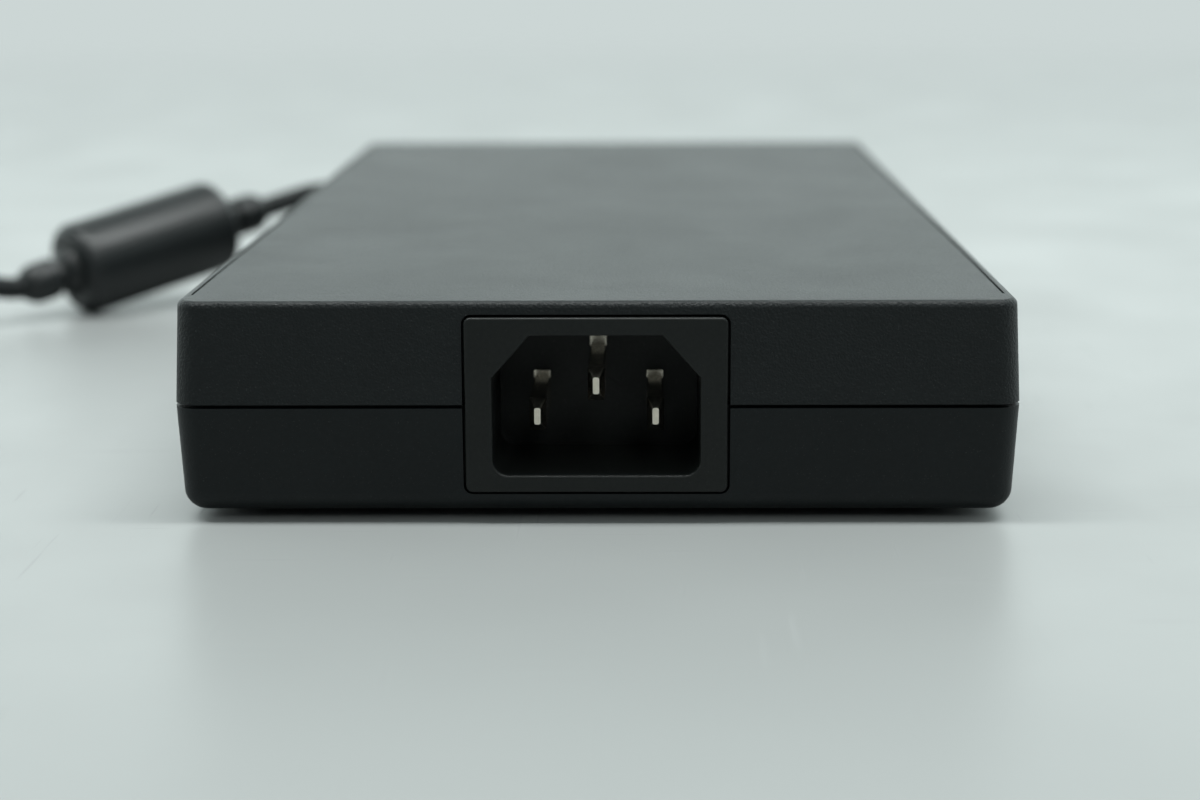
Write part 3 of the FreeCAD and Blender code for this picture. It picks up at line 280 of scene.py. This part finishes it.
finish("upper_shell_plastic", BLACK, (0.47, 0.51), eroded(0.24, 0.085), dust=0.05, wear=0.03, shine=0.25)
finish("lower_shell_plastic", BLACK, (0.44, 0.48), eroded(0.20, 0.022), dust=0.04, wear=0.03, shine=0.22)
finish("foot_rubber", RUBBER, (0.62, 0.78), eroded(0.3, 0.010), dust=0.6, wear=0.5)
finish("label_film", ((0.028, 0.029, 0.031), (0.036, 0.037, 0.039)), (0.30, 0.40), smooth(0.0012), dust=0.2)
finish(
    "inlet_plastic", ((0.0092, 0.0106, 0.0102), (0.0125, 0.0142, 0.0136)), (0.34, 0.44),
    eroded(0.1, 0.0035), dust=0.05, wear=0.05, shine=0.22
)
finish(
    "nickel_plate", ((0.66, 0.61, 0.52), (0.80, 0.74, 0.64)), (0.16, 0.26), rolled((1.0, 0.06, 1.0)),
    metallic=1.0, blotch=1.6, wear=0.6
)
finish("brown_insulation", ((0.12, 0.045, 0.02), (0.19, 0.08, 0.035)), (0.28, 0.40), smooth(), blotch=3.0)
finish("blue_insulation", ((0.02, 0.08, 0.36), (0.04, 0.12, 0.48)), (0.28, 0.40), smooth(), blotch=3.0)
finish("earth_insulation", ((0.10, 0.34, 0.04), (0.20, 0.48, 0.08)), (0.28, 0.40), smooth(), blotch=3.0)
finish(
    "spreader_aluminium", ((0.66, 0.67, 0.68), (0.80, 0.81, 0.82)), (0.28, 0.44),
    rolled((1.0, 0.03, 1.0)), metallic=1.0, blotch=18.0, wear=0.8
)
finish(
    "insulating_film", ((0.46, 0.46, 0.42), (0.58, 0.58, 0.54)), (0.22, 0.36), smooth(0.001), blotch=25.0
)
finish(
    "board_laminate", ((0.010, 0.11, 0.035), (0.025, 0.19, 0.075)), (0.26, 0.42),
    lambda g: g.total((g.bands(0.8, "X"), 0.006), (g.bands(0.8, "Y"), 0.006), (g.noise(5.0, 3.0), 0.01)),
    blotch=4.0
)
finish(
    "ceramic_body", ((0.72, 0.69, 0.62), (0.84, 0.82, 0.76)), (0.5, 0.68), eroded(0.2, 0.008), blotch=3.0
)
finish(
    "blue_coating", ((0.02, 0.09, 0.28), (0.045, 0.15, 0.42)), (0.24, 0.4), smooth(0.006, 0.6), blotch=2.5
)
finish("black_coating", ((0.016, 0.016, 0.017), (0.030, 0.030, 0.031)), (0.5, 0.66), eroded(0.12, 0.006))
finish("film_box", ((0.48, 0.35, 0.05), (0.62, 0.48, 0.11)), (0.4, 0.54), eroded(0.15, 0.006), blotch=5.0)
finish(
    "ferrite", ((0.036, 0.036, 0.040), (0.070, 0.070, 0.074)), (0.46, 0.66), eroded(0.35, 0.02),
    blotch=3.0
)
finish(
    "enamelled_copper", ((0.58, 0.22, 0.07), (0.82, 0.40, 0.16)), (0.2, 0.34), wound(0.8, "Z"),
    metallic=0.9, blotch=2.0
)
finish("capacitor_sleeve", ((0.022, 0.022, 0.040), (0.040, 0.040, 0.062)), (0.16, 0.28), smooth(0.003, 0.8))
finish("thermal_pad", ((0.38, 0.40, 0.44), (0.50, 0.52, 0.55)), (0.6, 0.78), eroded(0.5, 0.03), blotch=5.0)
finish("relief_rubber", RUBBER, (0.42, 0.52), eroded(0.14, 0.004), dust=0.06, shine=0.28)
finish(
    "cable_jacket", RUBBER, (0.38, 0.50), smooth(0.003, 0.22), blotch=7.0, dust=0.06, wear=0.1, shine=0.28
)
finish("ferrite_moulding", RUBBER, (0.36, 0.46), smooth(0.003, 0.25), dust=0.06, shine=0.42)
finish("plug_moulding", RUBBER, (0.40, 0.50), smooth(0.003, 0.25), dust=0.06, shine=0.28)
finish("plug_insulator", BLACK, (0.4, 0.5), smooth(0.002))


def dress(piece, slot):
    """Gives a piece its slot's material."""
    piece.data.materials.clear()
    piece.data.materials.append(MATERIALS[slot])


def ease_edges(piece, width):
    """Breaks a moulding's sharp edges by this much, as the mould itself does."""
    weld = piece.modifiers.new("weld", "WELD")
    weld.merge_threshold = WELD_GAP
    bevel = piece.modifiers.new("edges", "BEVEL")
    bevel.width = width
    bevel.segments = 2
    bevel.limit_method = "ANGLE"
    bevel.angle_limit = SHARP_ANGLE
    piece.modifiers.new("normals", "WEIGHTED_NORMAL")


ease_edges(frame["nodes"]["inlet_housing"], INLET_EDGE)

for part in frame["record"]["subparts"]:
    dress(frame["nodes"][part["node"]], part["material_slot"])


# ---- the cable's middle line -----------------------------------------------------------------------------
class Line:
    """A smooth line in space that gives its point and direction at any distance along it."""

    def __init__(self, points):
        self.points = np.array(points, float)
        steps = np.linalg.norm(np.diff(self.points, axis=0), axis=1)
        self.distances = np.concatenate([[0.0], np.cumsum(steps)])
        self.slopes = np.gradient(self.points, self.distances, axis=0)

    def at(self, distance):
        point = [np.interp(distance, self.distances, column) for column in self.points.T]
        slope = [np.interp(distance, self.distances, column) for column in self.slopes.T]
        return Vector(point), Vector(slope).normalized()

    def distance_of(self, place):
        """How far along the line passes over or under this place."""
        nearest = np.linalg.norm((self.points - np.array(place))[:, :2], axis=1).argmin()
        return float(self.distances[nearest])


def trace(node, start, direction):
    """The middle line of a packed cable, followed from start.

    Each surface point lies one radius from the line, and the surface's normal there is square to it. So the
    direction that is most square to a ring's normals is the line's own.
    """
    mesh = frame["nodes"][node].data
    corners = len(mesh.loops)
    owners = np.empty(corners, np.int32)
    normals = np.empty(corners * 3, np.float32)
    places = np.empty(len(mesh.vertices) * 3, np.float32)
    mesh.loops.foreach_get("vertex_index", owners)
    mesh.corner_normals.foreach_get("vector", normals)
    mesh.vertices.foreach_get("co", places)
    normals = normals.reshape(-1, 3).astype(float)
    middles = places.reshape(-1, 3)[owners] - CABLE_RADIUS * normals
    place = np.array(start)
    direction = np.array(direction)
    line = [place]
    while True:
        offsets = middles - place
        ahead = offsets @ direction
        aside = np.linalg.norm(offsets - ahead[:, None] * direction, axis=1)
        allowed = np.where(ahead < CURVED_GAP, CURVE_ALLOWANCE * ahead, STRAIGHT_TOLERANCE)
        near = (ahead > SHORTEST_GAP) & (ahead < LONGEST_GAP) & (aside < allowed + TRACE_SLACK)
        if not near.any():
            return line
        first = ahead[near].min()
        group = near & (ahead < first + RING_DEPTH)
        place = middles[group].mean(axis=0)
        _, axes = np.linalg.eigh(normals[group].T @ normals[group])
        direction = axes[:, 0] * np.sign(axes[:, 0] @ direction)
        line.append(place)


def eased(share):
    share = np.clip(share, 0.0, 1.0)
    return share * share * (3 - 2 * share)


def arched(line, start):
    """The line raised beyond start, where the cable leaves the ferrite level before it sinks to the desk."""
    beyond = line.distances - start
    raised = line.points.copy()
    raised[:, 2] += ARCH_HEIGHT * eased(beyond / ARCH_RISE) * (1 - eased((beyond - ARCH_RISE) / ARCH_FALL))
    return Line(raised)


def evened(points):
    """The same line with points one LINE_STEP apart, and its corners eased."""
    rough = Line(points)
    count = int(rough.distances[-1] / LINE_STEP)
    even = np.array([rough.at(rough.distances[-1] * i / count)[0] for i in range(count + 1)])
    for _ in range(LINE_SMOOTHING):
        even[1:-1] = (even[:-2] + 2 * even[1:-1] + even[2:]) / 4
    return Line(even)


exit_start = Vector((pivots["exit_bend_1"].x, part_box("exit_relief_base")[0].y, pivots["exit_bend_1"].z))
exit_tip = Vector((exit_start.x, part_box("exit_relief_tip")[1].y, exit_start.z))
ferrite_axis = (pivots["ferrite_lift"] - pivots["ferrite_bend_1"]).normalized()
link_axis = (pivots["ferrite_bend_2"] - pivots["ferrite_bend_1"]).normalized()
grip_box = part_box("plug_overmould")
plug_face = Vector((pivots["plug_bend_1"].x, grip_box[0].y, pivots["plug_bend_1"].z))

round_corner = trace("cable_to_ferrite", pivots["ferrite_lift"], ferrite_axis)
coil = trace("coiled_cable", pivots["ferrite_bend_2"], link_axis)
packed_line = evened([
    exit_start, exit_tip, *reversed(round_corner), pivots["ferrite_bend_1"], *coil,
    pivots["plug_bend_1"], plug_face,
])
middle_line = arched(packed_line, packed_line.distance_of(pivots["ferrite_bend_1"]) - ARCH_LEAD)
stops = {name: middle_line.distance_of(place) for name, place in pivots.items()}


# ---- skins round the line --------------------------------------------------------------------------------
def softened(profile):
    """The profile with its corners rounded, and a point close on each side of a corner to keep flats flat."""
    corners = [Vector(point) for point in profile]
    result = [corners[0]]
    for before, corner, after in zip(corners, corners[1:], corners[2:]):
        back, on = before - corner, after - corner
        reach = min(CORNER_ROUNDING, LONGEST_ROUNDING * back.length, LONGEST_ROUNDING * on.length)
        back.normalize()
        on.normalize()
        start, end = corner + back * reach, corner + on * reach
        result.append(start + back * reach * FLAT_GUARD)
        for step in range(CORNER_STEPS + 1):
            t = step / CORNER_STEPS
            result.append(start.lerp(corner, t).lerp(corner.lerp(end, t), t))
        result.append(end + on * reach * FLAT_GUARD)
    result.append(corners[-1])
    return [tuple(point) for point in result]


def densified(profile, step):
    """The profile with extra points, so that no stretch along the line is longer than step."""
    result = [profile[0]]
    for (d0, r0), (d1, r1) in zip(profile, profile[1:]):
        pieces = max(1, math.ceil(abs(d1 - d0) / step))
        for index in range(1, pieces + 1):
            share = index / pieces
            result.append((d0 + (d1 - d0) * share, r0 + (r1 - r0) * share))
    return result


def skin(name, profile, slot, seam=0.0):
    """A round skin along the middle line. The profile gives (distance, radius) pairs."""
    vertices, faces = [], []
    for distance, radius in profile:
        middle, direction = middle_line.at(distance)
        side = direction.cross(UP).normalized()
        rise = side.cross(direction)
        for index in range(RING_POINTS):
            angle = 2 * math.pi * index / RING_POINTS
            reach = radius + (seam if index % (RING_POINTS // 2) == 0 else 0.0)
            vertices.append(middle + reach * (math.cos(angle) * side + math.sin(angle) * rise))
    for ring in range(len(profile) - 1):
        for index in range(RING_POINTS):
            beyond = (index + 1) % RING_POINTS
            low, high = ring * RING_POINTS, (ring + 1) * RING_POINTS
            faces.append((low + index, low + beyond, high + beyond, high + index))
    mesh = bpy.data.meshes.new(name)
    mesh.from_pydata(vertices, [], faces)
    mesh.update()
    for polygon in mesh.polygons:
        polygon.use_smooth = True
    piece = bpy.data.objects.new(name, mesh)
    bpy.context.scene.collection.objects.link(piece)
    dress(piece, slot)
    return piece


def bend_at(piece, stop, reach=BEND_REACH):
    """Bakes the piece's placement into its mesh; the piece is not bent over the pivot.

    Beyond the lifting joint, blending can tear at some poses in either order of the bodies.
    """
    start, _ = middle_line.at(stop - reach)
    end, _ = middle_line.at(stop + reach)
    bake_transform(piece)


def cable_run(name, start, end, body):
    profile = densified([(start, CABLE_RADIUS), (end, CABLE_RADIUS)], CABLE_STEP)
    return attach(skin(name, profile, "cable_jacket"), body)


def cable_bend(name, start, end, stop):
    profile = densified([(start, CABLE_RADIUS), (end, CABLE_RADIUS)], BEND_STEP)
    piece = skin(name, profile, "cable_jacket")
    bend_at(piece, stop)
    return piece


# the moulded relief that carries the cable out of the casing
wall_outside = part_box("top_shell")[1].y
collar_start = wall_outside + WALL_GAP - exit_start.y
ring_start, ring_end = stops["exit_bend_1"] + SLOT_HALF, stops["exit_bend_2"] - SLOT_HALF
ring_middle = (ring_start + ring_end) / 2
ring_middle_radius = sum(EXIT_RING_RADII) / 2
tip_end = middle_line.distance_of(exit_tip)

exit_root_profile = softened([
    (0.0, CABLE_RADIUS), (0.0, EXIT_FLANGE_RADIUS), (EXIT_FLANGE_DEPTH, EXIT_FLANGE_RADIUS),
    (EXIT_FLANGE_DEPTH, EXIT_NECK_RADIUS), (collar_start, EXIT_NECK_RADIUS),
    (collar_start, EXIT_COLLAR_RADIUS), (stops["exit_bend_1"] - SLOT_HALF, EXIT_COLLAR_RADIUS - COLLAR_TAPER),
    (stops["exit_bend_1"] - SLOT_HALF, EXIT_CORE_RADIUS), (ring_start, EXIT_CORE_RADIUS),
    (ring_start, EXIT_RING_RADII[0]), (ring_middle, ring_middle_radius),
])
exit_root_profile = densified(exit_root_profile, BEND_STEP)
exit_relief_root = skin("exit_relief_root", exit_root_profile, "relief_rubber", SEAM_HEIGHT)
bend_at(exit_relief_root, stops["exit_bend_1"], SLOT_REACH)
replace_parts(exit_relief_root, "exit_relief_base")

exit_tip_profile = softened([
    (ring_middle, ring_middle_radius), (ring_end, EXIT_RING_RADII[1]), (ring_end, EXIT_CORE_RADIUS),
    (stops["exit_bend_2"] + SLOT_HALF, EXIT_CORE_RADIUS), (stops["exit_bend_2"] + SLOT_HALF, EXIT_TIP_RADIUS),
    (tip_end, EXIT_TIP_END_RADIUS), (tip_end, CABLE_RADIUS),
])
exit_tip_profile = densified(exit_tip_profile, BEND_STEP)
exit_relief_taper = skin("exit_relief_taper", exit_tip_profile, "relief_rubber", SEAM_HEIGHT)
bend_at(exit_relief_taper, stops["exit_bend_2"], SLOT_REACH)
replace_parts(exit_relief_taper, "exit_relief_ring", "exit_relief_tip")

# the cable from the relief to the ferrite, through it, and on into the coil
inside_ferrite = [
    middle_line.distance_of(pivots["ferrite_lift"] - ferrite_axis * FERRITE_MARGIN),
    middle_line.distance_of(pivots["ferrite_bend_1"] + ferrite_axis * FERRITE_MARGIN),
]
link_middle = (stops["ferrite_bend_1"] + stops["ferrite_bend_2"]) / 2
corner_end = stops["ferrite_lift"] - RUN_MARGIN
coil_start = stops["ferrite_bend_2"] + RUN_MARGIN
coil_end = stops["plug_bend_1"] - RUN_MARGIN

corner_run = cable_run("cable_round_corner", tip_end - TIP_OVERLAP, corner_end, "exit_run")
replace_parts(corner_run, "cable_to_ferrite")
cable_bend(
    "cable_behind_ferrite", corner_end, inside_ferrite[0], stops["ferrite_lift"]
)
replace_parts(cable_run("cable_inside_ferrite", *inside_ferrite, "ferrite"), "cable_through_ferrite")
cable_bend(
    "cable_before_ferrite", inside_ferrite[1], link_middle, stops["ferrite_bend_1"]
)
link_bend = cable_bend("cable_into_coil", link_middle, coil_start, stops["ferrite_bend_2"])
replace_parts(link_bend, "cable_link")
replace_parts(cable_run("cable_coil", coil_start, coil_end, "coil"), "coiled_cable")

# the plug's flexing ring and its moulded grip
plug_ring_start = stops["plug_bend_1"] + SLOT_HALF
plug_ring_end = stops["plug_bend_2"] - SLOT_HALF
plug_ring_middle = (plug_ring_start + plug_ring_end) / 2
plug_ring_middle_radius = sum(PLUG_RING_RADII) / 2
grip_start = stops["plug_bend_2"] + SLOT_HALF
grip_end = middle_line.distances[-1]
grip_radius = (grip_box[1].x - grip_box[0].x) / 2

plug_root_profile = softened([
    (coil_end, CABLE_RADIUS), (plug_ring_start, CABLE_RADIUS), (plug_ring_start, PLUG_RING_RADII[0]),
    (plug_ring_middle, plug_ring_middle_radius),
])
plug_relief_root = skin("plug_relief_root", densified(plug_root_profile, BEND_STEP), "relief_rubber")
bend_at(plug_relief_root, stops["plug_bend_1"], SLOT_REACH)
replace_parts(plug_relief_root, "plug_relief_ring")

groove_radius = grip_radius - PLUG_GROOVE_DEPTH
grip_shape = [
    (0.0, PLUG_WAIST_RADIUS), (4.0 * MM, PLUG_SHOULDER_RADII[0]), (6.5 * MM, PLUG_SHOULDER_RADII[1]),
    (8.0 * MM, grip_radius),
    (10.0 * MM, grip_radius), (10.6 * MM, groove_radius), (11.4 * MM, groove_radius),
    (12.0 * MM, grip_radius), (13.4 * MM, grip_radius), (14.0 * MM, groove_radius),
    (14.8 * MM, groove_radius), (15.4 * MM, grip_radius),
]
plug_grip_profile = softened([
    (plug_ring_middle, plug_ring_middle_radius), (plug_ring_end, PLUG_RING_RADII[1]),
    (plug_ring_end, EXIT_CORE_RADIUS), (grip_start, EXIT_CORE_RADIUS),
    *((grip_start + distance, radius) for distance, radius in grip_shape),
    (grip_end - PLUG_END_EDGE, grip_radius), (grip_end, grip_radius - PLUG_END_EDGE),
    (grip_end, BARREL_NECK_RADIUS),
])
plug_grip = skin("plug_grip", densified(plug_grip_profile, GRIP_STEP), "plug_moulding", SEAM_HEIGHT)
bend_at(plug_grip, stops["plug_bend_2"], SLOT_REACH)
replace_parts(plug_grip, "plug_overmould")


# ---- floor, light and camera -----------------------------------------------------------------------------
BACKDROP = (0.604, 0.672, 0.665)
FLOOR_TONES = ((0.270, 0.282, 0.280), (0.284, 0.296, 0.294))
FLOOR_HALF = 12.0
FADE_START, FADE_END = 0.30, 1.1  # how far out the floor turns into the backdrop
FLOOR_CLOUDS, FLOOR_SMUDGES, FLOOR_SCRATCHES, FLOOR_GRAIN = 60.0, 35.0, 1.2, 0.6  # millimetres
FLOOR_GRAIN_DEPTH = 0.004  # millimetres
FLOOR_ROUGHNESS = (0.36, 0.44)
FLOOR_SHINE = 0.2

ROOM_TINT = (0.885, 1.0, 0.985)
ROOM_FRONT, ROOM_BACK, ROOM_ZENITH = 0.04, 2.15, 0.45  # brightness
LIGHT_TINT = (0.96, 1.0, 0.99)


def flat_square(name, half):
    mesh = bpy.data.meshes.new(name)
    corners = [(-half, -half, 0), (half, -half, 0), (half, half, 0), (-half, half, 0)]
    mesh.from_pydata(corners, [], [(0, 1, 2, 3)])
    square = bpy.data.objects.new(name, mesh)
    bpy.context.scene.collection.objects.link(square)
    return square


def floor_material():
    """A satin table top that turns into the plain backdrop with distance, so that no horizon shows."""
    material = bpy.data.materials.new("floor")
    graph = Graph(material)
    shader = graph.tree.nodes["Principled BSDF"]
    graph.feed(shader.inputs["Base Color"], graph.mix(graph.noise(FLOOR_CLOUDS, 5.0), *FLOOR_TONES))
    marks = graph.hairlines(FLOOR_SCRATCHES, 0.2)
    rough = graph.spread(graph.noise(FLOOR_SMUDGES, 5.0), *NOISE_RANGE, *FLOOR_ROUGHNESS)
    graph.feed(shader.inputs["Roughness"], graph.maths("ADD", rough, graph.maths("MULTIPLY", marks, 0.15)))
    height = graph.total((graph.noise(FLOOR_GRAIN, 2.0), FLOOR_GRAIN_DEPTH))
    bump = graph.add("ShaderNodeBump", {"Distance": 1.0, "Height": height})
    graph.feed(shader.inputs["Normal"], bump.outputs[0])
    graph.feed(shader.inputs["Specular IOR Level"], FLOOR_SHINE)
    reach = graph.add("ShaderNodeVectorMath", {0: graph.place}, operation="LENGTH").outputs["Value"]
    seen = graph.add("ShaderNodeLightPath").outputs["Is Camera Ray"]
    share = graph.maths("MULTIPLY", graph.spread(reach, FADE_START, FADE_END), seen)
    glow = graph.add("ShaderNodeEmission", {"Color": BACKDROP, "Strength": 1.0})
    blended = graph.add("ShaderNodeMixShader", {0: share, 1: shader.outputs[0], 2: glow.outputs[0]})
    graph.feed(graph.tree.nodes["Material Output"].inputs["Surface"], blended.outputs[0])
    return material


floor = flat_square("floor", FLOOR_HALF)
floor.data.materials.append(floor_material())


def soft_room():
    """Plain backdrop to the eye; for light, a room that is bright overhead and behind, dim in front."""
    world = bpy.data.worlds.new("room")
    bpy.context.scene.world = world
    graph = Graph(world)
    direction = graph.tree.nodes.new("ShaderNodeTexCoord").outputs["Generated"]
    parts = graph.add("ShaderNodeSeparateXYZ", {0: direction}).outputs
    behind = graph.spread(parts["Y"], -0.8, 0.7, ROOM_FRONT, ROOM_BACK)
    overhead = graph.spread(parts["Z"], 0.2, 0.8)
    brightness = graph.add(
        "ShaderNodeMix", {0: overhead, 2: behind, 3: ROOM_ZENITH}, data_type="FLOAT"
    ).outputs[0]
    room = graph.add("ShaderNodeBackground", {"Color": ROOM_TINT, "Strength": brightness})
    backdrop = graph.add("ShaderNodeBackground", {"Color": BACKDROP, "Strength": 1.0})
    seen = graph.add("ShaderNodeLightPath").outputs["Is Camera Ray"]
    both = graph.add("ShaderNodeMixShader", {0: seen, 1: room.outputs[0], 2: backdrop.outputs[0]})
    graph.feed(graph.tree.nodes["World Output"].inputs["Surface"], both.outputs[0])


def soft_light(name, place, aim, width, height, power):
    light = bpy.data.lights.new(name, "AREA")
    light.shape = "RECTANGLE"
    light.size = width
    light.size_y = height
    light.energy = power
    light.color = LIGHT_TINT
    holder = bpy.data.objects.new(name, light)
    holder.location = place
    holder.rotation_mode = "QUATERNION"
    holder.rotation_quaternion = (Vector(aim) - Vector(place)).to_track_quat("-Z", "Y")
    bpy.context.scene.collection.objects.link(holder)


soft_room()
soft_light("overhead_strip", (0.0, -0.1, 0.85), (0.0, -0.1, 0.0), 1.1, 0.12, 11.0)
soft_light("front_fill", (0.25, -1.1, 0.75), (0.0, -0.1, 0.01), 0.35, 0.35, 2.0)

CAMERA_PLACE = Vector((5.08, -359.28, 69.3)) * MM
CAMERA_PITCH, CAMERA_YAW, CAMERA_ROLL = (math.radians(angle) for angle in (11.83, 1.02, -0.28))
CAMERA_LENS, CAMERA_SENSOR, CAMERA_FSTOP = 67.8, 36.0, 15.0
CAMERA_CLIP = (0.01, 50.0)


def place_camera():
    ahead = Vector((
        -math.sin(CAMERA_YAW) * math.cos(CAMERA_PITCH), math.cos(CAMERA_YAW) * math.cos(CAMERA_PITCH),
        -math.sin(CAMERA_PITCH),
    ))
    right = Vector((math.cos(CAMERA_YAW), math.sin(CAMERA_YAW), 0.0))
    up = right.cross(ahead)
    rolled_right = math.cos(CAMERA_ROLL) * right + math.sin(CAMERA_ROLL) * up
    rolled_up = math.cos(CAMERA_ROLL) * up - math.sin(CAMERA_ROLL) * right
    data = bpy.data.cameras.new("camera")
    data.lens = CAMERA_LENS
    data.sensor_width = CAMERA_SENSOR
    data.clip_start, data.clip_end = CAMERA_CLIP
    camera = bpy.data.objects.new("camera", data)
    turn = Matrix((rolled_right, rolled_up, -ahead)).transposed().to_4x4()
    camera.matrix_world = Matrix.Translation(CAMERA_PLACE) @ turn
    bpy.context.scene.collection.objects.link(camera)
    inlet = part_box("inlet_housing")
    focus = bpy.data.objects.new("focus", None)
    focus.location = ((inlet[0].x + inlet[1].x) / 2, inlet[0].y, (inlet[0].z + inlet[1].z) / 2)
    bpy.context.scene.collection.objects.link(focus)
    data.dof.use_dof = True
    data.dof.focus_object = focus
    data.dof.aperture_fstop = CAMERA_FSTOP
    bpy.context.scene.camera = camera


place_camera()
bpy.context.scene.view_settings.view_transform = "Standard"
